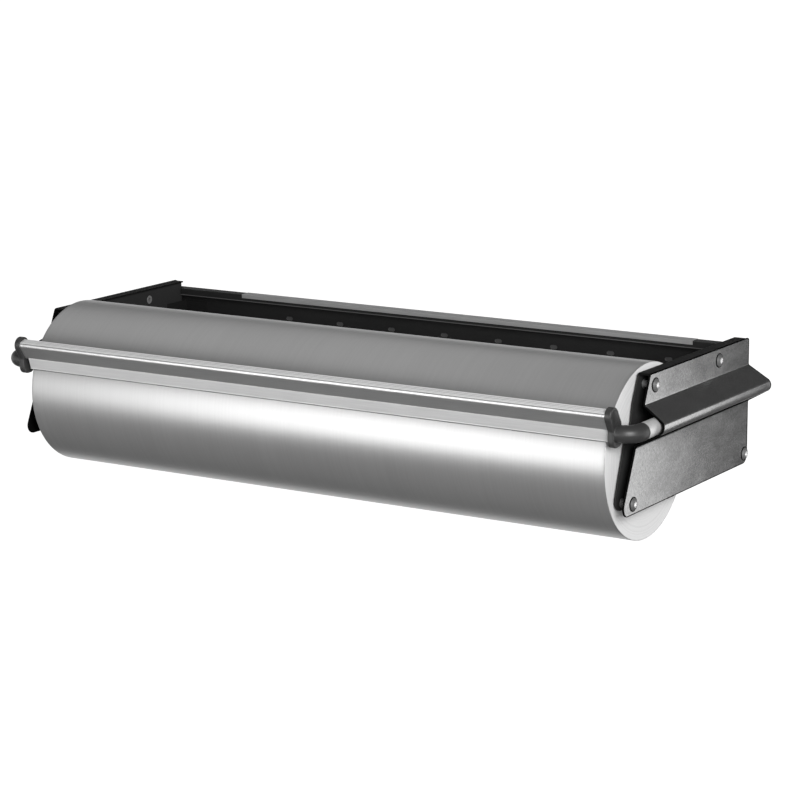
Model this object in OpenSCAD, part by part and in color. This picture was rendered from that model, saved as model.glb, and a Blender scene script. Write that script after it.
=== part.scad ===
// Wall-hung gift wrap dispenser with a sprung cutting bar.
// X runs along the paper roll to the right-hand end, Y points back to the wall, Z is up.
// The origin is the middle of the wall screw pattern, on the wall plane.
// Inside a module, pieces are drawn from the roll axis, and seat() moves them into this frame.

/* [Paper roll] */
// Width of the paper roll
roll_w = 750; // [400:10:1000]
// Diameter of the paper still on the roll
roll_d = 189; // [100:1:200]
// Outer diameter of the cardboard core
core_d = 76; // [60:1:80]
// Wall of the cardboard core
core_wall = 3; // [2:0.5:5]

/* [Side boxes] */
// Height of the side boxes above the roll axis
box_top = 88.2; // [80:0.1:100]
// Depth of the side boxes below the roll axis
box_bottom = 52.5; // [45:0.1:60]
// Distance of the wall plane behind the roll axis
wall_y = 212.4; // [205:0.1:230]
// Distance of the raked front edge before the axis, at axis height
front_y = 66.7; // [60:0.1:75]
// Backward rake of the front edge per millimetre of height
front_rake = 0.4415; // [0.3:0.0005:0.5]
// Radius of the two bottom corners
corner_r = 10; // [4:0.5:14]
// Radius of the top rear corner
top_corner_r = 4; // [2:0.5:8]
// Sheet thickness of covers, plates and rail
sheet = 1.5; // [1:0.1:1.8]
// Play between the end of the roll and a side plate
roll_play = 2; // [1.5:0.1:3]
// Inner distance between a side plate and its cover
box_gap = 11.7; // [10.8:0.1:13]

/* [Ridge] */
// Height of the middle of the ridge above the roll axis
ridge_z = 37.5; // [36:0.1:39]
// Half of the ridge height, where it leaves the flat of the cover
ridge_half = 20.5; // [20:0.1:21.5]
// Slope of both ridge faces
ridge_slope = 30; // [29:0.5:31]
// Outer radius of the ridge nose
nose_r = 8; // [7:0.1:9]

/* [Cover screws] */
// Shank diameter of the cover screws
screw_d = 5; // [4:0.5:6]
// Head diameter of the cover screws
screw_head_d = 14; // [10:0.5:15]
// Diameter of the standoffs between plate and cover
standoff_d = 8; // [7:0.5:10]

/* [Cutting bar] */
// Height of the blade edge above the roll axis
blade_z = 27.6; // [27:0.1:30]
// Gap left between the blade edge and the paper
blade_gap = 0.4; // [0.3:0.05:1]
// Thickness of the blade strip
blade_t = 0.8; // [0.5:0.1:1]
// Lean of the blade and its flange
blade_lean = 16; // [12:1:20]
// Wall of the hollow bar
bar_wall = 1.6; // [1.2:0.1:1.8]
// Thickness of the end caps
cap_t = 7; // [6:0.5:8]

/* [Arms] */
// Outer diameter of the arm tubes
arm_d = 18.2; // [17:0.1:18.4]
// Wall of the arm tubes
arm_wall = 1.5; // [1.2:0.1:1.8]
// Distance of the arm axis outside the flat of the cover
arm_out = 12.8; // [12.4:0.1:12.9]
// Outer diameter of the elbows
elbow_d = 18.4; // [17:0.1:19]
// Outer diameter of the elbow's mouth, where the tube begins
elbow_mouth_d = 19.2; // [18.8:0.1:20]
// Length of the arm tubes
arm_l = 198.5; // [190:0.5:200]
// Diameter of the fixed spring rods
rod_d = 5; // [4:0.5:6]

/* [Rear rail] */
// Height of the rail top above the roll axis
rail_top = 80.4; // [75:0.1:82]
// Depth of the rail bottom below the roll axis
rail_bottom = 40; // [30:1:45]
// Forward reach of the rail flanges
rail_flange = 13.4; // [10:0.1:15]
// Height of the turned-down lip
rail_lip = 8.5; // [6:0.5:10]
// Left end of the light strip
strip_left = -292; // [-330:1:-250]
// Right end of the light strip
strip_right = 323; // [250:1:330]

/* [Wall holes] */
// Distance between neighbouring wall slots
slot_pitch = 73.5; // [60:0.5:80]
// Number of wall slots in each row
slot_count = 8; // [2:1:8]
// Place of the first slot along the rail
slot_first = -220.5; // [-240:0.5:-200]
// Height of the upper slot row above the roll axis
slot_high = 54; // [50:0.5:60]
// Depth of the lower slot row below the roll axis
slot_low = 26; // [20:0.5:30]
// Length of a wall slot
slot_l = 9; // [8:0.5:12]
// Width of a wall slot
slot_w = 4.5; // [4:0.5:6]

/* [Axle] */
// Diameter of the roll axle
axle_d = 12; // [10:0.5:12]
// Height of the level entry of the axle slots above the seat
slot_entry = 28; // [26:0.5:29]
// Width of the axle slots in the side plates
axle_slot_w = 14; // [13:0.5:14]

/* [Hidden] */
$fn = 64;
// Extra depth that takes a cut through a face, or one piece into the next
eps = 1;
// How far a corner's arc stands proud of the edges beside it, so that they meet cleanly
lap = 0.002;

// Heights of the wall screw pattern
mount_z = (slot_high - slot_low) / 2;

// Planes along X, for the right-hand side
roll_end = roll_w / 2;
plate_in = roll_end + roll_play;
plate_out = plate_in + sheet;
cover_in = plate_out + box_gap;
cover_out = cover_in + sheet;

// Ridge of the cover: an imaginary sharp edge, then the centre of its nose
ridge_reach = ridge_half / tan(ridge_slope);
ridge_apex = cover_out + ridge_reach;
nose_x = ridge_apex - nose_r / sin(ridge_slope);

// Cover screws as [y, z] from the roll axis
screw_spots = [[-15.4, 75.2], [136.2, 75.2], [-62.7, -41.5], [204.4, -41.5]];
screw_head_h = 3;
socket_d = 4.6;
standoff_head_d = 10;

// Cutting bar: its section is drawn from the blade edge
roll_r = roll_d / 2;
cut_y = -sqrt(pow(roll_r + blade_gap, 2) - pow(blade_z, 2));
bar_end = roll_end + 5.8;
bar_nose = [-11.4, 29.8];
bar_crest = [-6.0, 32.8];
bar_back = [1.6, 31.3];
bar_heel = [0.1, 17.7];
bar_knee = [-4.4, 15.1];
bar_spots = [bar_nose, bar_knee, bar_heel, bar_back, bar_crest];
bar_radii = [4.2, 2.2, 2.2, 2.2, 3.0];
flange_t = 1.5;
flange_l = 13.4;
flange_drop = 1.6;
groove_r = 0.45;
groove_count = 3;
blade_l = 11.9;

// Caps, elbows and arms, from the blade edge and the roll axis
arm_r = arm_d / 2;
arm_x = cover_out + arm_out;
elbow_r = elbow_d / 2;
cap_out = bar_end + cap_t;
leg_y = cut_y + 0.7;
leg_l = 0.5;
elbow_bend = arm_x - cap_out - leg_l;
mouth_y = leg_y + 21.1;
arm_rear = mouth_y + arm_l;
cap_head = [[-7.8, 29.5], [-1.8, 15.4], [3.6, 18.9]];
cap_head_radii = [9.2, 7.6, 5.2];
cap_foot = [[-1.6, 13.9], [-1.7, 2.4], [3.6, 0.7], [3.7, 17.9]];
cap_foot_radii = [7.7, 7.2, 5.3, 5.2];
cap_plug = [-4.4, 26.6];
cap_plug_r = 5;
peg_r = 4;
peg_l = cap_t - 2;
spigot_l = 18;
plug_l = 8;

// Guides, anchors and rods in the side boxes
guide_l = 30;
front_guide_y = 14;
rear_guide_y = 74;
guide_half = 19;
guide_play = 0.06;
peg_spread = 9;
anchor_y = 192;
anchor_l = 7;
rod_r = rod_d / 2;
rod_front = -14;
rod_rear = 204.5;
nut_h = 4;
nut_flats = 8;
washer_t = 2;
spring_r = 6.6;
spring_wire = 1.4;

// Side plate: its front edge stands behind the cover's and bends at the mouth of the axle slot.
// Its rear edge stands clear of the rail above the foot.
plate_set = 1;
plate_bend = [-56, 18.8];
plate_bend_r = 2;
plate_toe_y = -64.8;
plate_toe_r = 12;
plate_low = box_bottom - 3;
plate_rear = 202;
plate_foot = -15;
plate_flange_rear = 205.6;
mouth_top = [-39.5, 60];
mouth_slope = 0.222;

// Rear brackets
bracket_y = 172;
bracket_leg = 34;
bracket_top = 64;
bracket_bottom = -30;
stud_r = 2.5;
stud_head_r = 4;
stud_spots = [45, -10];
stud_y = 187;

// Axle saddles and plugs
axle_r = axle_d / 2;
axle_reach = plate_out + 9.5;
saddle_t = 10;
saddle_half = 19;
saddle_low = -20;
saddle_high = 18;
saddle_pegs = [[-13, -12], [13, -12]];
axle_play = 0.05;
core_r = core_d / 2;
bore_r = core_r - core_wall;
plug_deep = 30;
collar_w = 12;
collar_r = 12;

// Moves a piece from the roll axis to the frame of the part
module seat() translate([0, -wall_y, -mount_z]) children();

// Draws a section given in Y and Z, from x0 to x1
module along_x(x0, x1) translate([x0, 0, 0]) rotate([90, 0, 90]) linear_extrude(x1 - x0) children();

// Draws a section given in X and Z, from y0 to y1
module along_y(y0, y1) translate([0, y1, 0]) rotate([90, 0, 0]) linear_extrude(y1 - y0) children();

// Round bars along X and Y
module rod_x(x0, x1, y, z, r) translate([x0, y, z]) rotate([0, 90, 0]) cylinder(r = r, h = x1 - x0);
module rod_y(y0, y1, x, z, r) translate([x, y0, z]) rotate([-90, 0, 0]) cylinder(r = r, h = y1 - y0);

// Convex outline around circles, with true arcs. The spots run counter-clockwise.
module rounded(spots, radii) {
    n = len(spots);
    polygon([for (i = [0 : n - 1])
        let (j = (i + 1) % n, d = norm(spots[j] - spots[i]), u = (spots[j] - spots[i]) / d,
             s = (radii[i] - radii[j]) / d, c = sqrt(1 - s * s),
             out = [u[0] * s + u[1] * c, u[1] * s - u[0] * c])
        each [spots[i] + radii[i] * out, spots[j] + radii[j] * out]]);
    for (i = [0 : n - 1]) translate(spots[i]) circle(r = radii[i] + lap);
}

// Mirrors the right-hand piece to the left
module left_side() mirror([1, 0, 0]) children();

// Repeats the right-hand piece on both sides
module both_sides() {
    children();
    mirror([1, 0, 0]) children();
}

// Y of a circle at height z that touches the raked front edge from behind
function rake_y(z, r) = -front_y + front_rake * z + r * sqrt(1 + front_rake * front_rake);

// Side outline in Y and Z, back to the plane y = rear
module side_outline(rear) {
    low = -box_bottom + corner_r;
    high = box_top - top_corner_r;
    rounded([[rake_y(low, corner_r), low], [rear - corner_r, low], [rear - top_corner_r, high],
             [rake_y(high, top_corner_r), high]],
            [corner_r, corner_r, top_corner_r, top_corner_r]);
}

// Ridge section in X and Z, set inwards by t, from the plane x = start
module ridge_section(start, t) {
    apex = ridge_apex - t / sin(ridge_slope);
    half = (apex - start) * tan(ridge_slope);
    r = nose_r - t;
    dx = r * sin(ridge_slope);
    dz = r * cos(ridge_slope);
    polygon([[start, ridge_z - half], [nose_x + dx, ridge_z - dz], [nose_x + dx, ridge_z + dz],
             [start, ridge_z + half]]);
    translate([nose_x, ridge_z]) circle(r = r + lap);
}

// Pressed sheet cover with the ridge that hides the arm
module side_cover() {
    difference() {
        intersection() {
            along_y(-front_y - box_bottom, wall_y - 0.4) difference() {
                union() {
                    translate([cover_in, -box_bottom]) square([sheet, box_top + box_bottom]);
                    ridge_section(cover_in, 0);
                }
                ridge_section(cover_in - eps, sheet);
            }
            along_x(cover_in - eps, ridge_apex) side_outline(wall_y - 0.4);
        }
        for (s = screw_spots) rod_x(cover_in - eps, cover_out + eps, s[0], s[1], screw_d / 2 + 0.3);
    }
}
module side_cover_left() color("silver") seat() left_side() side_cover();
module side_cover_right() color("silver") seat() side_cover();

// Black steel plate with a flange along its top and an open slot for the axle
module axle_slot(w) {
    circle(r = w / 2);
    translate([-w / 2, 0]) square([w, slot_entry + w / 2]);
    translate([-front_y - w, slot_entry - w / 2]) square([front_y + w * 3 / 2, w]);
    polygon([mouth_top, [mouth_top[0] - mouth_slope * (mouth_top[1] - slot_entry), slot_entry],
             [-front_y - w, slot_entry], [-front_y - w, mouth_top[1]]]);
}
module plate_outline() {
    rear = wall_y - sheet;
    high = box_top - top_corner_r;
    rounded([plate_bend, [plate_toe_y, -plate_low + plate_toe_r], [rear - corner_r, -plate_low + corner_r],
             [rear - top_corner_r, high], [rake_y(high, top_corner_r) + plate_set, high]],
            [plate_bend_r, plate_toe_r, corner_r, top_corner_r, top_corner_r]);
}
module side_plate() {
    difference() {
        union() {
            along_x(plate_in, plate_out) plate_outline();
            intersection() {
                along_x(plate_in, cover_in - 0.3) plate_outline();
                translate([0, -front_y, box_top - sheet])
                    cube([cover_out, front_y + plate_flange_rear, sheet + eps]);
            }
        }
        translate([plate_in - eps, plate_rear, plate_foot])
            cube([sheet + 2 * eps, sheet * 10, box_top - sheet - plate_foot]);
        translate([plate_in - eps, plate_flange_rear, plate_foot])
            cube([sheet + 2 * eps, sheet * 10, box_top + eps - plate_foot]);
        along_x(plate_in - eps, plate_out + eps) axle_slot(axle_slot_w);
        for (s = screw_spots) rod_x(plate_in - eps, plate_out + eps, s[0], s[1], standoff_head_d / 2);
        for (y = [front_guide_y, rear_guide_y], d = [-peg_spread, peg_spread])
            rod_x(plate_in - eps, plate_out + eps, y + guide_l / 2 + d, ridge_z, peg_r);
        for (s = saddle_pegs) rod_x(plate_in - eps, plate_out + eps, s[0], s[1], peg_r);
        rod_x(plate_in - eps, plate_out + eps, anchor_y + anchor_l / 2, ridge_z - peg_spread, stud_r);
        rod_x(plate_in - eps, plate_out + eps, anchor_y + anchor_l / 2, ridge_z + peg_spread, stud_r);
        for (z = stud_spots) rod_x(plate_in - eps, plate_out + eps, stud_y, z, stud_head_r);
    }
}
module side_plate_left() color("dimgray") seat() left_side() side_plate();
module side_plate_right() color("dimgray") seat() side_plate();

// Threaded standoffs clinched flush into the plate
module standoffs() {
    for (s = screw_spots) difference() {
        union() {
            rod_x(plate_in, plate_out, s[0], s[1], standoff_head_d / 2 - 0.02);
            rod_x(plate_out, cover_in, s[0], s[1], standoff_d / 2);
        }
        rod_x(plate_in - eps, cover_in + eps, s[0], s[1], screw_d / 2);
    }
}
module standoffs_left() color("gainsboro") seat() left_side() standoffs();
module standoffs_right() color("gainsboro") seat() standoffs();

// Button-head screws with a hexagon socket, two rows of two on each cover
module button_screw() {
    dome_r = (pow(screw_head_d / 2, 2) + pow(screw_head_h, 2)) / (2 * screw_head_h);
    difference() {
        union() {
            rotate_extrude() intersection() {
                translate([0, screw_head_h - dome_r]) circle(r = dome_r);
                square([screw_head_d / 2, screw_head_h]);
            }
            translate([0, 0, -14]) cylinder(r = screw_d / 2 - 0.02, h = 14 + eps / 2);
        }
        translate([0, 0, screw_head_h - 1.8]) cylinder(d = socket_d, h = 3, $fn = 6);
    }
}
module cover_screws() color("lightgray") seat() both_sides()
    for (s = screw_spots) translate([cover_out, s[0], s[1]]) rotate([0, 90, 0]) button_screw();

// Nylon saddle that carries one end of the axle
module axle_saddle() {
    difference() {
        union() {
            along_x(plate_out, plate_out + saddle_t)
                rounded([[-saddle_half + 4, saddle_low + 4], [saddle_half - 4, saddle_low + 4],
                         [saddle_half - 4, saddle_high - 4], [-saddle_half + 4, saddle_high - 4]],
                        [4, 4, 4, 4]);
            for (s = saddle_pegs) rod_x(plate_in, plate_out + eps, s[0], s[1], peg_r - 0.02);
        }
        along_x(plate_out - eps, plate_out + saddle_t + eps) {
            circle(r = axle_r + axle_play);
            translate([-axle_r - axle_play, 0]) square([axle_d + 2 * axle_play, saddle_high + eps]);
            polygon([[-axle_r, saddle_high - 6], [axle_r, saddle_high - 6],
                     [axle_r + 5, saddle_high + eps], [-axle_r - 5, saddle_high + eps]]);
        }
    }
}
module axle_saddle_left() color("darkslategray") seat() left_side() axle_saddle();
module axle_saddle_right() color("darkslategray") seat() axle_saddle();

// Section of the blocks that fill the ridge from the plate outwards
module block_section() {
    apex = ridge_apex - (sheet + 0.3) / sin(ridge_slope);
    root = cover_in - 0.3;
    tip = arm_x + 3;
    polygon([[plate_out, ridge_z - guide_half], [root, ridge_z - guide_half],
             [tip, ridge_z - (apex - tip) * tan(ridge_slope)],
             [tip, ridge_z + (apex - tip) * tan(ridge_slope)],
             [root, ridge_z + guide_half], [plate_out, ridge_z + guide_half]]);
}

// Nylon guide in which the arm tube slides, pegged to the plate
module arm_guide(y) {
    difference() {
        union() {
            along_y(y, y + guide_l) block_section();
            for (d = [-peg_spread, peg_spread])
                rod_x(plate_in, plate_out + eps, y + guide_l / 2 + d, ridge_z, peg_r - 0.02);
        }
        rod_y(y - eps, y + guide_l + eps, arm_x, ridge_z, arm_r + guide_play);
    }
}
module front_guide_left() color("darkslategray") seat() left_side() arm_guide(front_guide_y);
module front_guide_right() color("darkslategray") seat() arm_guide(front_guide_y);
module rear_guide_left() color("darkslategray") seat() left_side() arm_guide(rear_guide_y);
module rear_guide_right() color("darkslategray") seat() arm_guide(rear_guide_y);

// Zinc block at the back that holds the spring rod
module rod_anchor() {
    difference() {
        union() {
            along_y(anchor_y, anchor_y + anchor_l) block_section();
            for (d = [-peg_spread, peg_spread])
                rod_x(plate_in, plate_out + eps, anchor_y + anchor_l / 2, ridge_z + d, stud_r - 0.02);
        }
        rod_y(anchor_y - eps, anchor_y + anchor_l + eps, arm_x, ridge_z, rod_r + 0.05);
    }
}
module rod_anchor_left() color("darkgray") seat() left_side() rod_anchor();
module rod_anchor_right() color("darkgray") seat() rod_anchor();

// Steel rod along the middle of the arm tube
module spring_rod() rod_y(rod_front, rod_rear, arm_x, ridge_z, rod_r);
module spring_rod_left() color("lightsteelblue") seat() left_side() spring_rod();
module spring_rod_right() color("lightsteelblue") seat() spring_rod();

// Hexagon nut along Y
module nut_y(y, x, z, bore) translate([x, y, z]) rotate([-90, 0, 0]) difference() {
    cylinder(d = nut_flats / cos(30), h = nut_h, $fn = 6);
    translate([0, 0, -eps]) cylinder(r = bore + 0.02, h = nut_h + 2 * eps);
}
module rod_nuts() color("silver") seat() both_sides() {
    nut_y(rod_front, arm_x, ridge_z, rod_r);
    nut_y(anchor_y + anchor_l, arm_x, ridge_z, rod_r);
}
module rod_washers() color("silver") seat() both_sides() difference() {
    rod_y(rod_front + nut_h, rod_front + nut_h + washer_t, arm_x, ridge_z, spring_r);
    rod_y(rod_front, rod_front + 2 * nut_h, arm_x, ridge_z, rod_r + 0.02);
}

// Compression spring, drawn as the sleeve that its wire fills
module arm_spring() {
    y0 = rod_front + nut_h + washer_t;
    y1 = arm_rear - plug_l;
    difference() {
        rod_y(y0, y1, arm_x, ridge_z, spring_r);
        rod_y(y0 - eps, y1 + eps, arm_x, ridge_z, spring_r - spring_wire);
    }
}
module arm_spring_left() color("slategray") seat() left_side() arm_spring();
module arm_spring_right() color("slategray") seat() arm_spring();

// Folded steel rail that closes the back and hangs on the wall
module slot_x(x, z) along_y(wall_y - sheet - eps, wall_y + eps)
    rounded([[x - (slot_l - slot_w) / 2, z], [x + (slot_l - slot_w) / 2, z]], [slot_w / 2, slot_w / 2]);
module rear_rail() color("dimgray") seat() {
    inner = plate_in - 0.3;
    difference() {
        union() {
            translate([-cover_in + 0.3, wall_y - sheet, -rail_bottom])
                cube([2 * cover_in - 0.6, sheet, rail_top + rail_bottom]);
            translate([-inner, wall_y - rail_flange, rail_top - sheet])
                cube([2 * inner, rail_flange, sheet]);
            translate([-inner, wall_y - rail_flange, rail_top - rail_lip])
                cube([2 * inner, sheet, rail_lip]);
            translate([-inner, wall_y - rail_flange, -rail_bottom])
                cube([2 * inner, rail_flange, sheet]);
        }
        for (i = [0 : slot_count - 1], z = [slot_high, -slot_low])
            slot_x(slot_first + i * slot_pitch, z);
        for (x = [-1, 1], z = stud_spots)
            rod_y(wall_y - sheet - eps, wall_y + eps, x * (plate_in - bracket_leg / 2), z, stud_head_r);
    }
}

// Thin light strip folded over the top of the rail
module rail_strip() color("darkgray") seat() {
    t = 0.5;
    front = wall_y - rail_flange - t;
    translate([strip_left, front, rail_top]) cube([strip_right - strip_left, rail_flange + t, t]);
    translate([strip_left, front, rail_top - 4.4]) cube([strip_right - strip_left, t, 4.4]);
}

// Steel angle between side plate and rail
module rail_bracket() {
    back = wall_y - sheet;
    tall = bracket_top - bracket_bottom;
    difference() {
        union() {
            translate([plate_in - sheet, bracket_y, bracket_bottom]) cube([sheet, back - bracket_y, tall]);
            translate([plate_in - bracket_leg, back - sheet, bracket_bottom]) cube([bracket_leg, sheet, tall]);
        }
        for (z = stud_spots) {
            rod_x(plate_in - sheet - eps, plate_in + eps, stud_y, z, stud_r + 0.2);
            rod_y(back - sheet - eps, back + eps, plate_in - bracket_leg / 2, z, stud_r + 0.2);
        }
    }
}
module rail_bracket_left() color("dimgray") seat() left_side() rail_bracket();
module rail_bracket_right() color("dimgray") seat() rail_bracket();

// Studs with flush heads, pressed into the side plates and the rail
module rail_studs() color("silver") seat() both_sides() for (z = stud_spots) {
    rod_x(plate_in, plate_out, stud_y, z, stud_head_r - 0.02);
    rod_x(plate_in - 11, plate_in + eps / 2, stud_y, z, stud_r);
    translate([plate_in - bracket_leg / 2, 0, 0]) {
        rod_y(wall_y - sheet, wall_y, 0, z, stud_head_r - 0.02);
        rod_y(wall_y - sheet - 11, wall_y - eps / 2, 0, z, stud_r);
    }
}
module rail_nuts() color("silver") seat() both_sides() for (z = stud_spots) {
    nut_y(wall_y - 2 * sheet - nut_h, plate_in - bracket_leg / 2, z, stud_r);
    translate([plate_in - sheet - nut_h, stud_y, z]) rotate([0, 90, 0]) difference() {
        cylinder(d = nut_flats / cos(30), h = nut_h, $fn = 6);
        translate([0, 0, -eps]) cylinder(r = stud_r + 0.02, h = nut_h + 2 * eps);
    }
}

// Places what is drawn from the blade edge
module at_blade() translate([0, cut_y, blade_z]) children();

// Lower flange of the bar, leaning forward behind its face
module leaning(low, high, back, front) rotate(blade_lean)
    translate([-front, low]) square([front - back, high - low]);

// Hollow aluminium bar with three fine grooves along its upper edge
module bar_section() {
    difference() {
        union() {
            rounded(bar_spots, bar_radii);
            leaning(flange_drop, flange_l + flange_drop, blade_t, blade_t + flange_t);
        }
        rounded(bar_spots, [for (r = bar_radii) r - bar_wall]);
        for (i = [1 : groove_count])
            translate(bar_nose + (bar_crest - bar_nose) * i / groove_count + [-2.0, 3.2])
                circle(r = groove_r);
    }
}
module cutting_bar() color("gainsboro") seat() at_blade() along_x(-bar_end, bar_end) bar_section();

// Straight steel blade strip behind the flange
module cutting_blade() color("lightgray") seat() at_blade()
    along_x(-roll_end, roll_end) leaning(0, blade_l, 0, blade_t);

// Moulded cap on each end of the bar, with a socket for the elbow
module end_cap() {
    at_blade() difference() {
        union() {
            along_x(bar_end, cap_out) {
                rounded(cap_head, cap_head_radii);
                rounded(cap_foot, cap_foot_radii);
            }
            rod_x(bar_end - 12, bar_end + eps, cap_plug[0], cap_plug[1], cap_plug_r);
        }
        rod_x(bar_end - eps, cap_out + eps, leg_y - cut_y, ridge_z - blade_z, peg_r + 0.02);
    }
}
module end_cap_left() color("dimgray") seat() left_side() end_cap();
module end_cap_right() color("dimgray") seat() end_cap();

// Plastic elbow from the cap to the arm tube
module elbow() {
    bend_x = arm_x - elbow_bend;
    bend_y = leg_y + elbow_bend;
    difference() {
        union() {
            rod_x(cap_out - peg_l, cap_out + eps, leg_y, ridge_z, peg_r);
            rod_x(cap_out, bend_x, leg_y, ridge_z, elbow_r);
            translate([bend_x, bend_y, ridge_z]) rotate([0, 0, -90]) rotate_extrude(angle = 90)
                translate([elbow_bend, 0]) circle(r = elbow_r);
            translate([arm_x, bend_y, ridge_z]) rotate([-90, 0, 0])
                cylinder(r1 = elbow_r, r2 = elbow_mouth_d / 2, h = mouth_y - bend_y);
            rod_y(mouth_y - eps, mouth_y + spigot_l, arm_x, ridge_z, arm_r - arm_wall - 0.02);
        }
        rod_x(cap_out - peg_l - eps, cap_out + 8, leg_y, ridge_z, 2);
    }
}
module elbow_left() color("dimgray") seat() left_side() elbow();
module elbow_right() color("dimgray") seat() elbow();

// Screws that draw the elbows into the caps
module elbow_screws() color("silver") seat() both_sides() {
    rod_x(bar_end + 0.1, cap_out - peg_l, leg_y, ridge_z, peg_r - 0.1);
    rod_x(cap_out - peg_l - eps / 2, cap_out + 7, leg_y, ridge_z, 1.98);
}

// Light tube that slides in the guides
module arm_tube() difference() {
    rod_y(mouth_y, arm_rear, arm_x, ridge_z, arm_r);
    rod_y(mouth_y - eps, arm_rear + eps, arm_x, ridge_z, arm_r - arm_wall);
}
module arm_tube_left() color("gainsboro") seat() left_side() arm_tube();
module arm_tube_right() color("gainsboro") seat() arm_tube();

// Plug that closes the back of the tube and pushes on the spring
module tube_plug() difference() {
    rod_y(arm_rear - plug_l, arm_rear, arm_x, ridge_z, arm_r - arm_wall - 0.02);
    rod_y(arm_rear - plug_l - eps, arm_rear + eps, arm_x, ridge_z, rod_r + 0.08);
}
module tube_plug_left() color("dimgray") seat() left_side() tube_plug();
module tube_plug_right() color("dimgray") seat() tube_plug();

// Wound paper on its cardboard core
module paper_roll() color("silver") seat() difference() {
    rod_x(-roll_end, roll_end, 0, 0, roll_r);
    rod_x(-roll_end - eps, roll_end + eps, 0, 0, core_r);
}
module roll_core() color("tan") seat() difference() {
    rod_x(-roll_end, roll_end, 0, 0, core_r);
    rod_x(-roll_end - eps, roll_end + eps, 0, 0, bore_r);
}

// Ribbed plastic plug that centres the core on the axle
module core_plug() {
    x1 = roll_end - 0.5;
    x0 = x1 - plug_deep;
    difference() {
        union() {
            difference() {
                rod_x(x0, x1, 0, 0, bore_r - 0.02);
                rod_x(x0 - eps, x1 + eps, 0, 0, bore_r - 3);
            }
            rod_x(x1 - 6, x1 - 3, 0, 0, bore_r - 2);
            rod_x(x0, x1, 0, 0, axle_r + 5);
            for (a = [0 : 60 : 300]) rotate([a, 0, 0])
                translate([x0, axle_r + 2, -1.25]) cube([plug_deep - 5, bore_r - axle_r - 3.5, 2.5]);
        }
        rod_x(x0 - eps, x1 + eps, 0, 0, axle_r + 0.02);
    }
}
module core_plug_left() color("slategray") seat() left_side() core_plug();
module core_plug_right() color("slategray") seat() core_plug();

// Steel axle, with a set collar behind each plug
module roll_axle() color("silver") seat() rod_x(-axle_reach, axle_reach, 0, 0, axle_r);
module axle_collars() color("darkgray") seat() both_sides() {
    x1 = roll_end - 0.5 - plug_deep;
    difference() {
        rod_x(x1 - collar_w, x1, 0, 0, collar_r);
        rod_x(x1 - collar_w - eps, x1 + eps, 0, 0, axle_r + 0.02);
        translate([x1 - collar_w / 2, 0, 0]) cylinder(r = 2, h = collar_r + eps);
    }
}
module collar_screws() color("dimgray") seat() both_sides()
    translate([roll_end - 0.5 - plug_deep - collar_w / 2, 0, axle_r + 0.1]) difference() {
        cylinder(r = 1.98, h = 5);
        translate([0, 0, 3]) cylinder(d = 2, h = 3, $fn = 6);
    }

side_cover_left();
side_cover_right();
side_plate_left();
side_plate_right();
standoffs_left();
standoffs_right();
cover_screws();
axle_saddle_left();
axle_saddle_right();
front_guide_left();
front_guide_right();
rear_guide_left();
rear_guide_right();
rod_anchor_left();
rod_anchor_right();
spring_rod_left();
spring_rod_right();
rod_nuts();
rod_washers();
arm_spring_left();
arm_spring_right();
rear_rail();
rail_strip();
rail_bracket_left();
rail_bracket_right();
rail_studs();
rail_nuts();
cutting_bar();
cutting_blade();
end_cap_left();
end_cap_right();
elbow_left();
elbow_right();
elbow_screws();
arm_tube_left();
arm_tube_right();
tube_plug_left();
tube_plug_right();
paper_roll();
roll_core();
core_plug_left();
core_plug_right();
roll_axle();
axle_collars();
collar_screws();
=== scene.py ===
import math

import bmesh
import bpy
import numpy as np
from mathutils import Matrix, Vector


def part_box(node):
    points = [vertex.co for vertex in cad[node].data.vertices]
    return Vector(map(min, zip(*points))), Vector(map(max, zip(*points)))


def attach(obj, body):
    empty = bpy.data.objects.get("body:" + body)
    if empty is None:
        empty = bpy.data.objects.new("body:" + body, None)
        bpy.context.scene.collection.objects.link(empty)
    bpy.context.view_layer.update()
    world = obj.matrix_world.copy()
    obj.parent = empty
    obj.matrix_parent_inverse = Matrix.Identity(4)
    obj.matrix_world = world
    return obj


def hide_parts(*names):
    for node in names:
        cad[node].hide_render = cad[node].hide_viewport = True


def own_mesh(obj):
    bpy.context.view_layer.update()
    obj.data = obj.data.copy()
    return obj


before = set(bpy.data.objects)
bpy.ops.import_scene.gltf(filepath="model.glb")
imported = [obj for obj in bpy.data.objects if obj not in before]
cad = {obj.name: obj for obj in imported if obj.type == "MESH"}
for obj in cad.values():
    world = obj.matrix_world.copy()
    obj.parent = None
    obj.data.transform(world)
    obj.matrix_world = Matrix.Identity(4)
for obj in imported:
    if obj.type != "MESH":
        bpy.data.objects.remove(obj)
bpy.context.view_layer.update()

# ---- Camera
# The photograph was taken from the right and a little above, with a long lens.
# Its place was worked out from the edges of the boxes, the roll and the cutting bar.
yaw, pitch, roll = math.radians(32.176), math.radians(11.945), math.radians(-0.382)
ahead = Vector((-math.sin(yaw) * math.cos(pitch), math.cos(yaw) * math.cos(pitch), -math.sin(pitch)))
level = Vector((math.cos(yaw), math.sin(yaw), 0))
over = level.cross(ahead)
across = level * math.cos(roll) + over * math.sin(roll)
above = over * math.cos(roll) - level * math.sin(roll)


def placed(name, data):
    """A new object with the given mesh, lamp or camera, put into the scene."""
    thing = bpy.data.objects.new(name, data)
    bpy.context.scene.collection.objects.link(thing)
    return thing


camera = placed("camera", bpy.data.cameras.new("camera"))
camera.data.lens, camera.data.sensor_width = 121.62, 36.0
camera.data.clip_start, camera.data.clip_end = 0.05, 60.0
look = Matrix((across, above, -ahead)).transposed().to_4x4()
camera.matrix_world = Matrix.Translation((1.62232, -2.67893, 0.62460)) @ look
bpy.context.scene.camera = camera
bpy.context.scene.view_settings.view_transform = "Standard"


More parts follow.
